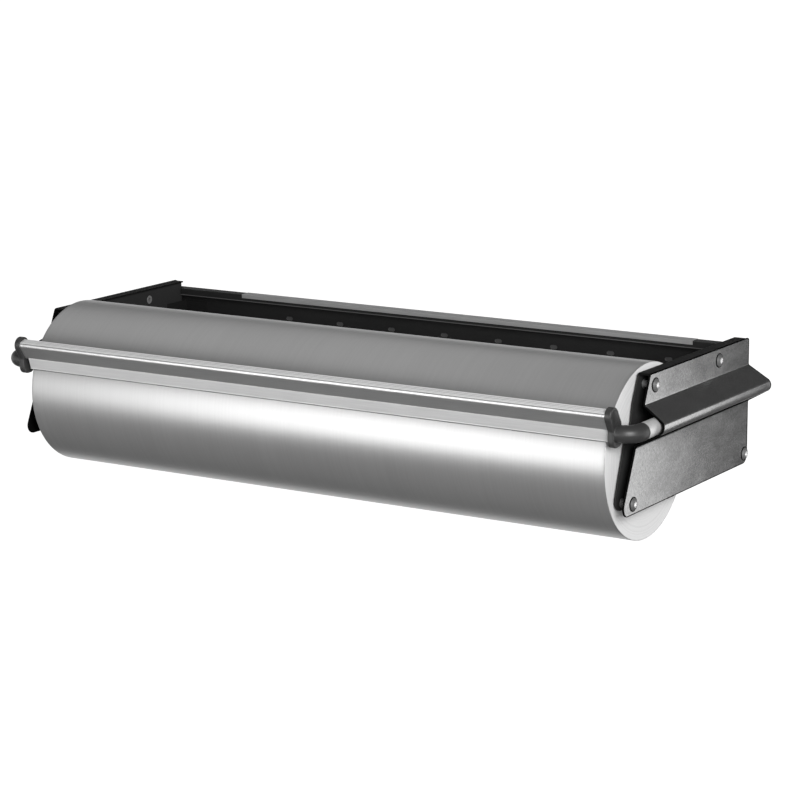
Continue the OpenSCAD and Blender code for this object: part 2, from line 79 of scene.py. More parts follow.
# ---- Floor and backdrop
# A pale paper sweep: a level floor well below the dispenser, which hangs, and a curve up behind it.
# It glows towards the camera and in reflections, which makes it white behind the dispenser and at its
# left.
def skin(name, grid, loop_rows=False, loop_cols=False, ends=False):
    """Joins a grid of points, point[i, j], by quads between [i, j], [i+1, j], [i+1, j+1] and [i, j+1].
    loop_rows or loop_cols also joins the last row or column to the first, ends puts one face on the
    first row and one on the last."""
    rows, cols = grid.shape[:2]
    index = np.arange(rows * cols).reshape(rows, cols)
    first, last = index[0].tolist(), index[-1].tolist()
    if loop_cols:
        index = np.hstack([index, index[:, :1]])
    if loop_rows:
        index = np.vstack([index, index[:1]])
    corners = [index[:-1, :-1], index[1:, :-1], index[1:, 1:], index[:-1, 1:]]
    faces = np.stack(corners, -1).reshape(-1, 4).tolist() + ([first[::-1], last] if ends else [])
    mesh = bpy.data.meshes.new(name)
    mesh.from_pydata(grid.reshape(-1, 3).tolist(), [], faces)
    return placed(name, mesh)


def carried(x, line):
    """The grid of a line in Y and Z that is carried along the given places on X."""
    return np.stack([np.column_stack([np.full(len(line), v), line]) for v in x])


def dress(piece, *materials):
    """Gives a piece its materials, in the order of its material slots."""
    piece.data.materials.clear()
    for material in materials:
        piece.data.materials.append(material)
    return piece


def fill(node, inputs):
    """Gives a node's inputs, by name or number, their values or the outputs that feed them."""
    for name, value in dict(inputs).items():
        if isinstance(value, bpy.types.NodeSocket):
            node.id_data.links.new(value, node.inputs[name])
        else:
            node.inputs[name].default_value = value
    return node


def add(nodes, kind, inputs=(), **settings):
    """A new shader node of the given kind, with its settings and its inputs."""
    node = nodes.new("ShaderNode" + kind)
    for name, value in settings.items():
        setattr(node, name, value)
    return fill(node, inputs)


def blank_material(name):
    """An empty material with its nodes and its Principled shader, which is joined to its output."""
    material = bpy.data.materials.new(name)
    material.use_nodes = True
    nodes = material.node_tree.nodes
    nodes.clear()
    shader = add(nodes, "BsdfPrincipled")
    add(nodes, "OutputMaterial", {"Surface": shader.outputs[0]})
    return material, nodes, shader


def object_place(nodes):
    """The Object coordinates."""
    return add(nodes, "TexCoord").outputs["Object"]


def computed(nodes, operation, *values, clamp=False):
    """The output of a Math node whose inputs are numbers or the outputs of other nodes."""
    return add(nodes, "Math", enumerate(values), operation=operation, use_clamp=clamp).outputs[0]


def ramped(nodes, value, low=0.0, high=1.0, start=0.0, stop=1.0, curve="LINEAR"):
    """A number that goes from low to high as value goes from start to stop."""
    return add(nodes, "MapRange", {"Value": value, "From Min": start, "From Max": stop, "To Min": low,
                                   "To Max": high}, interpolation_type=curve).outputs["Result"]


def full_colour(colour):
    """The colour with its alpha. A single number stands for a grey."""
    return (*colour, 1) if isinstance(colour, tuple) else (colour, colour, colour, 1)


def mixed(nodes, share, under, over, blend="MIX"):
    """The colour under, blended with the colour over by its share."""
    return add(nodes, "Mix", {"Factor": share, "A": under, "B": over}, data_type="RGBA",
               blend_type=blend).outputs["Result"]


def tinted(nodes, value, dark, light):
    """A colour that goes from dark to light as value goes from 0 to 1."""
    return mixed(nodes, value, full_colour(dark), full_colour(light))


sweep_floor, sweep_back, sweep_top, sweep_bend = -1.6, 2.6, 0.5, 1.2
turn = np.linspace(0, math.pi / 2, 25)
bend_line = np.stack([sweep_back - sweep_bend + sweep_bend * np.sin(turn),
                      sweep_floor + sweep_bend * (1 - np.cos(turn))], 1)
sweep_line = np.vstack([[[-6.0, sweep_floor]], bend_line, [[sweep_back, sweep_top]]])
sweep = skin("floor", carried(np.linspace(-7, 7, 15), sweep_line))
sweep.data.shade_smooth()


def seen_directly(nodes):
    """A value that is 1 for rays from the camera, off a shiny surface or through a clear one, else 0."""
    path = add(nodes, "LightPath").outputs
    value = computed(nodes, "MAXIMUM", path["Is Camera Ray"], path["Is Glossy Ray"])
    return computed(nodes, "MAXIMUM", value, path["Is Transmission Ray"])


def sweep_finish():
    """Pale paper with a faint tooth. Behind and left of the dispenser, where the camera looks, it glows
    at a strength of 1 towards rays that see it directly: y from 0.4 to 1.4 m and x from -0.28 to -0.50 m.
    Everywhere else the camera sees it at a strength of at least 0.5, so that it is pale from any side."""
    material, nodes, shader = blank_material("sweep_paper")
    split = add(nodes, "SeparateXYZ", {0: object_place(nodes)})
    tooth = add(nodes, "TexNoise", {"Vector": object_place(nodes), "Scale": 900.0})
    glow = seen_directly(nodes)
    for axis, dark_at, light_at in (("Y", 0.4, 1.4), ("X", -0.28, -0.50)):
        fade = ramped(nodes, split.outputs[axis], start=dark_at, stop=light_at, curve="SMOOTHSTEP")
        glow = computed(nodes, "MULTIPLY", fade, glow)
    pale = computed(nodes, "MULTIPLY", add(nodes, "LightPath").outputs["Is Camera Ray"], 0.5)
    fill(shader, {"Base Color": tinted(nodes, tooth.outputs["Fac"], 0.22, 0.26), "Roughness": 0.95,
                  "Specular IOR Level": 0.1, "Emission Color": (1, 1, 1, 1),
                  "Emission Strength": computed(nodes, "MAXIMUM", pale, glow)})
    return material


dress(sweep, sweep_finish())


# ---- Studio light
# A soft box at the front left gives the broad highlight on paper and bar. One at the right lights the
# roll's end, a card behind gives the cover its sheen, and a dim box hangs high at the left. The room is
# bright at eye level and dim above, as under a studio's dark ceiling.
def soft_box(name, place, target, width, height, radiance):
    """A rectangular lamp at place that faces target, with its width level. Its power in watts is
    pi times its area times its radiance."""
    lamp = bpy.data.lights.new(name, "AREA")
    lamp.shape, lamp.size, lamp.size_y = "RECTANGLE", width, height
    lamp.energy = math.pi * width * height * radiance
    holder = placed(name, lamp)
    holder.location = place
    holder.rotation_euler = (Vector(target) - Vector(place)).to_track_quat("-Z", "Y").to_euler()


soft_box("front_box", (-0.52, -1.50, -0.03), (-0.02, -0.30, -0.03), 0.95, 0.84, 2.7)
soft_box("right_box", (2.0, -1.9, 0.9), (0.4, -0.2, 0.0), 1.2, 1.2, 14.5)
soft_box("rear_card", (1.08, 0.50, -0.15), (0.40, -0.33, -0.15), 0.60, 0.85, 1.35)
soft_box("top_box", (-1.6, 1.00, 2.0), (-1.6, 1.001, 0.0), 1.9, 3.9, 0.46)
world = bpy.data.worlds.new("studio")
world.use_nodes = True
bpy.context.scene.world = world
nodes = world.node_tree.nodes
nodes.clear()
way = add(nodes, "SeparateXYZ", {0: add(nodes, "TexCoord").outputs["Generated"]})
ramp = add(nodes, "ValToRGB", {0: way.outputs["Z"]})
horizon, zenith = ramp.color_ramp.elements
horizon.position, horizon.color = 0.03, (1, 1, 1, 1)
zenith.position, zenith.color = 0.32, (0.055, 0.055, 0.055, 1)
ramp.color_ramp.interpolation = "EASE"
room_colour = mixed(nodes, seen_directly(nodes), full_colour(0.20), ramp.outputs["Color"])
room = add(nodes, "Background", {"Color": room_colour})
add(nodes, "OutputWorld", {"Surface": room.outputs[0]})


# ---- Rear rail
# A folded steel rail with a flange along its top and its bottom and two rows of punched slots. It is
# powder coated black, closes the back between the boxes and carries the whole dispenser on wall screws.
# The lower edge of its front lip is painted lighter as a painted highlight along the fold.
def group_of(name, inputs, outputs):
    """A shader node group with the named sockets, (name, kind, value). It gives the group, its nodes, the
    sockets that bring values in, and the node that takes them out."""
    tree = bpy.data.node_groups.new(name, "ShaderNodeTree")
    for label, kind, value in inputs:
        socket = tree.interface.new_socket(label, in_out="INPUT", socket_type=kind)
        socket.default_value = value
    for label, kind in outputs:
        tree.interface.new_socket(label, in_out="OUTPUT", socket_type=kind)
    return tree, tree.nodes, tree.nodes.new("NodeGroupInput").outputs, tree.nodes.new("NodeGroupOutput")


def grain_group():
    """Grain: noise on Object coordinates that are first multiplied by Stretch, with Scale grains per
    metre, pushed to contrast about its middle. It gives a value from 0 to 1."""
    tree, nodes, come, go = group_of(
        "Surface Grain",
        [("Scale", "NodeSocketFloat", 400.0), ("Stretch", "NodeSocketVector", (1, 1, 1)),
         ("Detail", "NodeSocketFloat", 4.0), ("Contrast", "NodeSocketFloat", 2.0)],
        [("Value", "NodeSocketFloat")])
    stretched = add(nodes, "VectorMath", {0: object_place(nodes), 1: come["Stretch"]}, operation="MULTIPLY")
    noise = add(nodes, "TexNoise", {"Vector": stretched.outputs[0], "Scale": come["Scale"],
                                    "Detail": come["Detail"]})
    centred = computed(nodes, "SUBTRACT", noise.outputs["Fac"], 0.5)
    fill(go, {"Value": computed(nodes, "MULTIPLY_ADD", centred, come["Contrast"], 0.5, clamp=True)})
    return tree


def edge_group():
    """Worn edge: where the normal rounded over Radius leaves the true normal, broken up by a noise of
    Scale spots per metre, Mask rises to 1. Normal is the rounded normal, which softens every corner."""
    tree, nodes, come, go = group_of(
        "Worn Edge",
        [("Radius", "NodeSocketFloat", 0.0005), ("Scale", "NodeSocketFloat", 300.0),
         ("Amount", "NodeSocketFloat", 1.0)],
        [("Mask", "NodeSocketFloat"), ("Normal", "NodeSocketVector")])
    rounded = add(nodes, "Bevel", {"Radius": come["Radius"]}, samples=4).outputs[0]
    true_normal = add(nodes, "NewGeometry").outputs["Normal"]
    dot = add(nodes, "VectorMath", {0: rounded, 1: true_normal}, operation="DOT_PRODUCT")
    spots = add(nodes, "TexNoise", {"Vector": object_place(nodes), "Scale": come["Scale"]})
    rise = ramped(nodes, dot.outputs["Value"], start=0.985, stop=0.80)
    mottled = computed(nodes, "MULTIPLY", rise, spots.outputs["Fac"])
    fill(go, {"Mask": computed(nodes, "MULTIPLY", mottled, come["Amount"], clamp=True), "Normal": rounded})
    return tree


surface_grain, worn_edge = grain_group(), edge_group()


def grain(nodes, scale, stretch=(1, 1, 1), detail=4.0, contrast=2.0):
    """Places the grain group with its own values and gives its output socket."""
    node = add(nodes, "Group", node_tree=surface_grain)
    fill(node, {"Scale": scale, "Stretch": stretch, "Detail": detail, "Contrast": contrast})
    return node.outputs["Value"]


def shaded(nodes, value, colour, least):
    """The colour, darkened to the share least of itself where value is 0."""
    return mixed(nodes, 1.0, colour, tinted(nodes, value, least, 1.0), "MULTIPLY")


def bumped(nodes, height, distance, normal=None):
    """The normal of a surface that height raises by distance, over another normal where one is given."""
    node = add(nodes, "Bump", {"Strength": 0.6, "Distance": distance, "Height": height})
    return fill(node, {"Normal": normal} if normal else {}).outputs[0]


def coat(name, dark, light, rough, metal=0.0, scale=900.0, stretch=(1, 1, 1), bump=0.0001,
         edge=0.0005, wear=0.0, worn=0.5, blotch=0.15, spec=0.5):
    """A finish: grain mixes the colours dark and light and the two roughnesses, a broad blotch shades
    it by its share, edges are softened over edge and show the colour worn by wear, and the grain
    raises the surface by bump."""
    material, nodes, shader = blank_material(name)
    fine, broad = grain(nodes, scale, stretch), grain(nodes, 14.0, detail=3.0, contrast=1.6)
    edges = fill(add(nodes, "Group", node_tree=worn_edge), {"Radius": edge, "Amount": wear}).outputs
    colour = shaded(nodes, broad, tinted(nodes, fine, dark, light), 1 - blotch)
    fill(shader, {"Base Color": mixed(nodes, edges["Mask"], colour, full_colour(worn)),
                  "Roughness": ramped(nodes, fine, *rough), "Metallic": metal,
                  "Specular IOR Level": spec, "Normal": bumped(nodes, fine, bump, edges["Normal"])})
    return material


def painted(material, colour, mask):
    """Covers the material's colour by another one. mask(nodes, at) gives the value that is 1 where it is
    covered, worked out from the Object coordinates at["X"], at["Y"] and at["Z"]."""
    nodes = material.node_tree.nodes
    shader = next(node for node in nodes if node.type == "BSDF_PRINCIPLED")
    at = add(nodes, "SeparateXYZ", {0: object_place(nodes)}).outputs
    under = shader.inputs["Base Color"].links[0].from_socket
    fill(shader, {"Base Color": mixed(nodes, mask(nodes, at), under, full_colour(colour))})


# Its worn edges are painted lighter, partly as wear and partly as a painted highlight along the folds.
rail_powder = coat("rail_powder_coat", 0.012, 0.024, (0.45, 0.60), scale=1500,
                   bump=0.00010, edge=0.0011, wear=1.2, worn=0.16, blotch=0.25, spec=0.25)


def hem_highlight_mask(nodes, at):
    """1 within 0.7 mm of the height of the lip's hem and within 1.2 mm of its front, where a highlight is
    painted.
    """
    height = computed(nodes, "COMPARE", at["Z"], 0.0583, 0.0007)
    depth = computed(nodes, "COMPARE", at["Y"], -0.0127, 0.0012)
    return computed(nodes, "MULTIPLY", height, depth)


# Paints a light line along the lip's hem as a painted highlight.
painted(rail_powder, 0.10, hem_highlight_mask)


def dress_nodes(finish, *names):
    """Gives CAD nodes that keep their own shape a finish."""
    for name in names:
        dress(cad[name], finish)


dress_nodes(rail_powder, "rear_rail")

# ---- Slot blanks (painted shade)
# Thin moulded plugs of grey plastic, pressed into the rail's slots from behind so that no light shows
# through; their grey is painted shade for the dark seen through the slots. Each is an oval dish with a raised
# rim, a little smaller than its slot.
rail_front, blank_start, blank_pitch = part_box("rear_rail")[1].y - 0.0015, -0.22050, 0.0735
blank_rows = (0.0400, -0.0400)


def oval_dish(name, x, z):
    """A dish of rings about (x, z), each two half circles of radius r joined by straights of 4.5 mm, at
    the (r, y) of its stations: back centre, back rim, front rim, and a front face sunk by 0.25 mm."""
    stations = [(0.0002, 0.00005), (0.00215, 0.00005), (0.00221, 0.00012), (0.00221, -0.00125),
                (0.00212, -0.00135), (0.00185, -0.00135), (0.00178, -0.0011), (0.0002, -0.0011)]
    half_straight, back = 0.00225, rail_front + 0.0014
    a = np.linspace(0, 2 * math.pi, 41)[:-1]
    shift = np.where(np.cos(a) >= 0, half_straight, -half_straight)
    across, up = np.cos(a), np.sin(a)
    grid = np.stack([np.column_stack([x + shift + r * across, np.full(len(a), back + y), z + r * up])
                     for r, y in stations])
    return skin(name, grid, loop_cols=True, ends=True)


def joined(name, pieces, smooth):
    """One piece of several meshes, which are then removed: points that lie together are merged, all faces
    turn outwards, and shading is smooth up to an angle."""
    shape = bmesh.new()
    for piece in pieces:
        shape.from_mesh(piece.data)
        bpy.data.objects.remove(piece)
    bmesh.ops.remove_doubles(shape, verts=shape.verts, dist=1e-7)
    bmesh.ops.recalc_face_normals(shape, faces=shape.faces)
    mesh = bpy.data.meshes.new(name)
    shape.to_mesh(mesh)
    shape.free()
    mesh.shade_smooth()
    mesh.set_sharp_from_angle(angle=smooth)
    return placed(name, mesh)


# The grey of the blanks is painted shade for the dark seen through the slots.
slot_shade_grey = coat("painted_slot_shade_grey", 0.060, 0.085, (0.4, 0.55), scale=1800,
                  bump=0.00004, edge=0.0004, wear=0.2, worn=0.16)
blanks = joined("painted_slot_shade", [oval_dish("blank", blank_start + blank_pitch * i, z)
                                for i in range(8) for z in blank_rows], math.radians(35))
dress(blanks, slot_shade_grey)
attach(blanks, "frame")

# ---- Light strip on the rail
# A thin folded strip of grey plastic that clips over the rail's top edge, so that paper doesn't snag
# on the bare fold when it is pushed back over it. It starts a little inside the rail's left slots.
strip_low, strip_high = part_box("rail_strip")
strip_left, strip_right = strip_low.x + 0.0095, strip_high.x + 0.0062
strip_t, strip_round = 0.0005, 0.0009


def folded_strip(name):
    """The strip's section in Y and Z, an L whose outer bend is an arc, with both ends of the L rounded,
    carried from strip_left to strip_right."""
    y0, y1, z0, z1 = strip_low.y, strip_high.y, strip_low.z, strip_high.z
    inner_round, inner_z, tip = strip_round - strip_t, z1 - strip_t, 0.0001
    bend_y, bend_z = y0 + strip_round, z1 - strip_round
    a = np.linspace(math.pi, math.pi / 2, 9)[:, None]
    outer = np.concatenate([bend_y + strip_round * np.cos(a), bend_z + strip_round * np.sin(a)], 1)
    a = a[::-1]
    inner = np.concatenate([bend_y + inner_round * np.cos(a), bend_z + inner_round * np.sin(a)], 1)
    run = np.linspace(y0 + 0.002, y1 - 0.0002, 6)[:, None]
    line = np.vstack([[[y0 + tip, z0], [y0, z0 + tip], [y0, z0 + 0.001]], outer,
                      np.hstack([run, np.full((6, 1), z1)]),
                      [[y1, z1 - tip], [y1, inner_z + tip], [y1 - tip, inner_z]],
                      np.hstack([run[::-1], np.full((6, 1), inner_z)]), inner,
                      [[y0 + strip_t, z0 + 0.001], [y0 + strip_t, z0 + tip], [y0 + strip_t - tip, z0]]])
    inside = np.linspace(strip_left + 0.001, strip_right - 0.001, 40)
    x = np.concatenate([[strip_left], inside, [strip_right]])
    return skin(name, carried(x, line), loop_cols=True, ends=True)


strip_plastic = coat("grey_strip_plastic", 0.27, 0.34, (0.30, 0.42), scale=700,
                     stretch=(0.05, 1, 1), bump=0.00002, edge=0.0002, wear=0.2)
strip = dress(joined("rail_edge_strip", [folded_strip("fold")], math.radians(30)), strip_plastic)
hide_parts("rail_strip")
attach(strip, "frame")

# ---- Rear brackets, studs and nuts
# Steel angles between each side plate and the rail, black like them. They are held on studs whose heads
# are pressed flush into plate and rail, with zinc-plated hexagon nuts on the inside.
black_powder = coat("black_powder_coat", 0.012, 0.022, (0.62, 0.78), scale=1500,
                    bump=0.00012, edge=0.0006, wear=0.25, worn=0.04, blotch=0.25, spec=0.05)
bright_zinc = coat("bright_zinc", (0.50, 0.50, 0.51), 0.72, (0.24, 0.42), metal=1.0, scale=1100,
                   bump=0.00003, edge=0.0004, wear=0.3, worn=0.9, blotch=0.2)
dress_nodes(black_powder, "rail_bracket_left", "rail_bracket_right")
dress_nodes(bright_zinc, "rail_studs", "rail_nuts")

# ---- Side plates
# The inner sheet of each box: 1.5 mm steel with a flange along its top, an open slot for the axle, and
# punched holes for what is riveted or pegged to it. It is powder coated black, and its flange is painted
# darker still as painted shade.
plate_powder = coat("plate_powder_coat", 0.026, 0.042, (0.54, 0.68), scale=1500,
                    bump=0.00010, edge=0.0006, wear=0.4, worn=0.09, blotch=0.3, spec=0.10)
plate_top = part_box("side_plate_right")[1].z


def flange_shade_mask(nodes, at):
    """0 below the flange, 1 from 1 mm under its top, where the flange is painted dark as painted shade."""
    return ramped(nodes, at["Z"], start=plate_top - 0.0030, stop=plate_top - 0.0010)


# Paints the flange near black as painted shade.
painted(plate_powder, 0.004, flange_shade_mask)
dress_nodes(plate_powder, "side_plate_left", "side_plate_right")

# ---- Standoffs
# Four turned posts on each plate, clinched flush into it, with a thread for the cover's screws. They
# are zinc plated, and only the ring of each foot shows on the inner side.
dull_zinc = coat("dull_zinc", 0.22, 0.34, (0.42, 0.56), metal=0.35, scale=1200,
                 bump=0.00003, edge=0.0004, wear=0.3, worn=0.8, blotch=0.2)
dress_nodes(dull_zinc, "standoffs_left", "standoffs_right")

# ---- Axle saddles and arm guides
# Moulded nylon blocks, pegged into the plates: open saddles for the axle ends, and two long guides on
# each side in which the arm tube slides. They are dyed black, with a dull moulded skin.
black_nylon = coat("black_nylon", 0.014, 0.030, (0.45, 0.6), scale=2200,
                   bump=0.00005, edge=0.0007, wear=0.25, worn=0.12)
dress_nodes(black_nylon, "axle_saddle_left", "axle_saddle_right", "front_guide_left",
            "front_guide_right", "rear_guide_left", "rear_guide_right")

# ---- Spring rods, anchors, nuts and washers
# A steel rod runs along the middle of each arm tube and is nutted to a zinc block at the back of the
# box. Its front washer holds the return spring.
dress_nodes(bright_zinc, "rod_anchor_left", "rod_anchor_right", "spring_rod_left", "spring_rod_right",
            "rod_nuts", "rod_washers")

# ---- Return springs
# A compression spring of round steel wire, wound to ride between the rod and the inside of the tube.
# It pushes on the tube's rear plug and pulls the bar back against the paper.
axis_y, axis_z, ridge_z = -0.2124, -0.0140, 0.0235


def coil(name, x, front, rear, radius, wire, turns):
    """A wire of the given radius along a helix about the line y at (x, ridge_z): the centre runs over
    (x + R cos a, y(a), ridge_z + R sin a), with a from 0 to 2 pi turns, and y slows down at both ends
    so that the last turn lies flat. Two circle directions at each point give the wire its thickness."""
    a = np.linspace(0, 2 * math.pi * turns, int(turns * 28) + 1)[:, None]
    share = a / a[-1]
    slowed = share - 0.030 * np.sin(2 * math.pi * share)
    y = front + wire + (rear - front - 2 * wire) * slowed
    out = np.concatenate([np.cos(a), np.zeros_like(a), np.sin(a)], 1)
    line = np.concatenate([x + radius * np.cos(a), y, ridge_z + radius * np.sin(a)], 1)
    b = np.linspace(0, 2 * math.pi, 9)[None, :-1, None]
    along = np.array([0, 1, 0])[None, None]
    grid = line[:, None] + wire * (np.cos(b) * out[:, None] + np.sin(b) * along)
    return skin(name, grid, loop_cols=True, ends=True)


spring_wire = coat("spring_steel", (0.16, 0.16, 0.17), (0.34, 0.34, 0.35), (0.28, 0.45), metal=1.0,
                   scale=1600, bump=0.00002, edge=0.0003)
dress_nodes(spring_wire, "arm_spring_left", "arm_spring_right")
for side in ("left", "right"):
    low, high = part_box("arm_spring_" + side)
    wire = coil("wire", (low.x + high.x) / 2, low.y, high.y, radius=0.0059, wire=0.00068, turns=26)
    spring = joined("return_spring_" + side, [wire], math.radians(60))
    dress(spring, spring_wire)
    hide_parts("arm_spring_" + side)
    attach(spring, "frame")
    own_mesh(spring)

# ---- Side covers
# The outer sheet of each box: 1.5 mm steel, black inside and along its cut edge, with a satin silver
# face. The slope under its ridge is painted black as painted shade. A press bends the roof-shaped ridge into
# it, under which the arm slides.
cover_face, cover_sheet = 0.3917, 0.0015
box_low, box_high = axis_z - 0.0525, axis_z + 0.0882
nose_centre, nose_radius, ridge_half, slope = 0.4112, 0.0080, 0.0205, math.radians(30)


def fillet(corner, before, after, radius, steps):
    """Points of the arc that rounds the corner between the directions before (towards it) and after
    (away from it): they start radius * tan(turn / 2) ahead of it and turn evenly from one to the other."""
    before, after = np.array(before) / np.hypot(*before), np.array(after) / np.hypot(*after)
    turn = math.acos(float(np.clip(before @ after, -1, 1)))
    side = math.copysign(1, before[0] * after[1] - before[1] * after[0])
    start = np.array(corner) - before * radius * math.tan(turn / 2)
    centre = start + side * radius * np.array([-before[1], before[0]])
    a = np.linspace(0, turn, steps)[:, None] * side
    spoke = (start - centre)[None]
    return centre + np.concatenate([spoke[:, :1] * np.cos(a) - spoke[:, 1:] * np.sin(a),
                                    spoke[:, :1] * np.sin(a) + spoke[:, 1:] * np.cos(a)], 1)


def cover_profile():
    """The outer line of the cover in X and Z, from the bottom up: a flat, a 30 degree slope out, an arc of
    120 degrees round the nose, the slope back, and the upper flat, with small fillets at both roots."""
    up, out, back = (0, 1), (math.cos(slope), math.sin(slope)), (-math.cos(slope), math.sin(slope))
    a = np.linspace(slope - math.pi / 2, math.pi / 2 - slope, 25)[:, None]
    nose = np.concatenate([nose_centre + nose_radius * np.cos(a), ridge_z + nose_radius * np.sin(a)], 1)
    flat_end = ridge_half + 0.003
    near_low = box_low + 0.0145 * (1 - np.cos(np.linspace(0, math.pi / 2, 17)))
    near_top = box_high - 0.0045 * (1 - np.cos(np.linspace(0, math.pi / 2, 11)))[::-1]
    lower = np.stack([np.full(17, cover_face), near_low], 1)
    upper = np.stack([np.full(11, cover_face), near_top], 1)
    middle = np.stack([np.full(5, cover_face), np.linspace(near_low[-1], ridge_z - flat_end, 7)[1:-1]], 1)
    high = np.stack([np.full(4, cover_face), np.linspace(ridge_z + flat_end, near_top[0], 6)[1:-1]], 1)
    low_root = fillet((cover_face, ridge_z - ridge_half), up, out, 0.0022, 7)
    high_root = fillet((cover_face, ridge_z + ridge_half), back, up, 0.0022, 7)
    return np.vstack([lower, middle, low_root, nose, high_root, high, upper])


def cover_ends(z):
    """Front and rear edge of the cover, in Y, at each height z: a raked line with arcs of 10 mm at the
    bottom and 4 mm at the top, and an upright line with the same arcs."""
    foot, rear_edge, rake = -0.0667, 0.2120, 0.4415
    norm = math.hypot(1, rake)
    h = z - axis_z
    front, rear = foot + rake * h, np.full_like(h, rear_edge)
    for centre, radius, which in ((-0.0425, 0.010, -1), (0.0842, 0.004, 1)):
        middle = foot + rake * centre + radius * norm
        reach = np.sqrt(np.clip(radius ** 2 - (h - centre) ** 2, 0, None))
        front = np.where(which * (h - centre) > which * rake / norm * radius, middle - reach, front)
        rear = np.where(which * (h - centre) > 0, rear_edge - radius + reach, rear)
    return front + axis_y, rear + axis_y


rim_band, rim_strip, cover_columns = 0.0020, 0.0009, 33


def cover(name, sign):
    """Joins the front edge to the rear edge by straight lines along Y at each point of the profile, with
    one column of faces rim_band wide at either end."""
    line = cover_profile()
    front, rear = (edge[:, None] for edge in cover_ends(line[:, 1]))
    share = np.linspace(0, 1, cover_columns - 2)[None]
    y = np.hstack([front, front + rim_band + (rear - front - 2 * rim_band) * share, rear])
    x, z = np.repeat(line[:, :1], cover_columns, 1), np.repeat(line[:, 1:], cover_columns, 1)
    grid = np.stack([sign * x, y, z], -1)
    piece = skin(name, grid if sign < 0 else grid[::-1])
    piece.data.shade_smooth()
    return piece


def face_centres(piece):
    """The centre of each face of the piece, without its modifiers."""
    centres = np.zeros(len(piece.data.polygons) * 3)
    piece.data.polygons.foreach_get("center", centres)
    return centres.reshape(-1, 3)


def give_slots(piece, slots):
    """Gives each face its material slot."""
    piece.data.polygons.foreach_set("material_index", slots.astype(np.int32))


def black_faces(piece):
    """True for faces within 2 mm of the front and rear and 0.9 mm of the top and bottom, where the coat
    of the inside wraps over the cut edge, and for the slope under the ridge, which is painted black as
    painted shade."""
    x, y, z = face_centres(piece).T
    start, stop = cover_ends(z)
    rim = (y < start + rim_band * 0.8) | (y > stop - rim_band * 0.8)
    rim |= (z < box_low + rim_strip) | (z > box_high - rim_strip)
    # The slope under the ridge is painted black as painted shade.
    return rim | (z > ridge_z - 0.0190) & (z < ridge_z - 0.0072) & (np.abs(x) > cover_face + 0.001)


def satin_silver():
    """Satin silver sheet: a fine lengthwise brushing and a soft mottle change its colour, its roughness
    and its height, and faint rubbed patches lighten it."""
    material, nodes, shader = blank_material("satin_silver_sheet")
    brushed = grain(nodes, 900.0, (1, 0.05, 1), 3.0, 1.4)
    speckle = grain(nodes, 430.0, (1, 1, 1), 4.0, 2.6)
    patch = grain(nodes, 45.0, (1, 0.6, 1), 5.0, 1.8)
    rough = computed(nodes, "ADD", ramped(nodes, patch, 0.18, 0.23), ramped(nodes, brushed, -0.04, 0.04))
    fill(shader, {"Base Color": shaded(nodes, patch, tinted(nodes, speckle, 0.42, 0.58), 0.82),
                  "Roughness": rough, "Metallic": 0.95,
                  "Normal": bumped(nodes, speckle, 0.000004, bumped(nodes, brushed, 0.000003))})
    return material


silver_sheet = satin_silver()
# Black for the cut edge, and painted shade on the slope under the ridge.
edge_and_shade_black = coat("cut_edge_and_painted_shade_black", 0.003, 0.007, (0.70, 0.85), scale=1500,
                bump=0.00005, edge=0.0002, blotch=0.1, spec=0.0)
for side, sign in (("left", -1), ("right", 1)):
    shell = dress(cover("cover_" + side, sign), silver_sheet, edge_and_shade_black)
    give_slots(shell, black_faces(shell))
    wall = shell.modifiers.new("sheet", "SOLIDIFY")
    wall.thickness, wall.offset, wall.use_even_offset = cover_sheet, -1, True
    wall.material_offset, wall.material_offset_rim = 1, 1
    rim = shell.modifiers.new("rim", "BEVEL")
    rim.width, rim.segments, rim.harden_normals = 0.0002, 2, True
    rim.limit_method, rim.angle_limit = "ANGLE", math.radians(55)
    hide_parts("side_cover_" + side)
    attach(shell, "frame")

# ---- Cover screws and washers
# Button-head screws with a hexagon socket, four on each cover, on thin washers coated black as painted shadow
# round each head.
# The heads have a dull grey plating, and the sockets are painted bright as a painted glint.
screw_places = [(-0.0154, 0.0752), (0.1362, 0.0752), (-0.0627, -0.0415), (0.2044, -0.0415)]


def turned(stations, sign, place, flats=()):
    """A body turned about the line X through place: stations are (radius, distance from the cover's
    face). Rows in flats are hexagons, with radius r cos 30 / cos(angle mod 60 - 30)."""
    stations = np.array(stations)
    a = np.linspace(0, 2 * math.pi, 49)[:-1]
    hexagon = math.cos(math.pi / 6) / np.cos(np.mod(a, math.pi / 3) - math.pi / 6)
    r = stations[:, :1] * np.where(np.isin(np.arange(len(stations)), flats)[:, None], hexagon, 1.0)
    y, z = axis_y + place[0], axis_z + place[1]
    x = np.repeat(cover_face + stations[:, 1:], len(a), 1)
    return np.stack([sign * x, y + r * np.cos(a), z + r * np.sin(a)], -1)


head_radius, head_height, socket, shoulder = 0.0068, 0.0029, 0.0025, 0.0007
dome_line = [(head_radius - (head_radius - socket * 1.25) * t,
              shoulder + (head_height - shoulder) * math.sin(t * math.pi / 2)) for t in np.linspace(0, 1, 12)]
socket_line = [(socket * 1.02, head_height - 0.0003), (socket, head_height - 0.0013),
               (socket * 0.9, head_height - 0.0016), (0.00001, head_height - 0.0019)]
head_line = [(0.0027, 0.0000), (head_radius, 0.0002), (head_radius, 0.0006)] + dome_line + socket_line
washer_line = [(0.0030, 0.0001), (0.0077, 0.0001), (0.0079, 0.0003), (0.0077, 0.0006), (0.0030, 0.0006)]
first_flat = len(head_line) - len(socket_line)
socket_rows = range(first_flat, first_flat + 3)
screw_plating = coat("screw_plating", 0.15, 0.25, (0.42, 0.55), metal=0.4, scale=1300,
                     bump=0.00002, edge=0.0003, wear=0.5, worn=0.6, blotch=0.3)
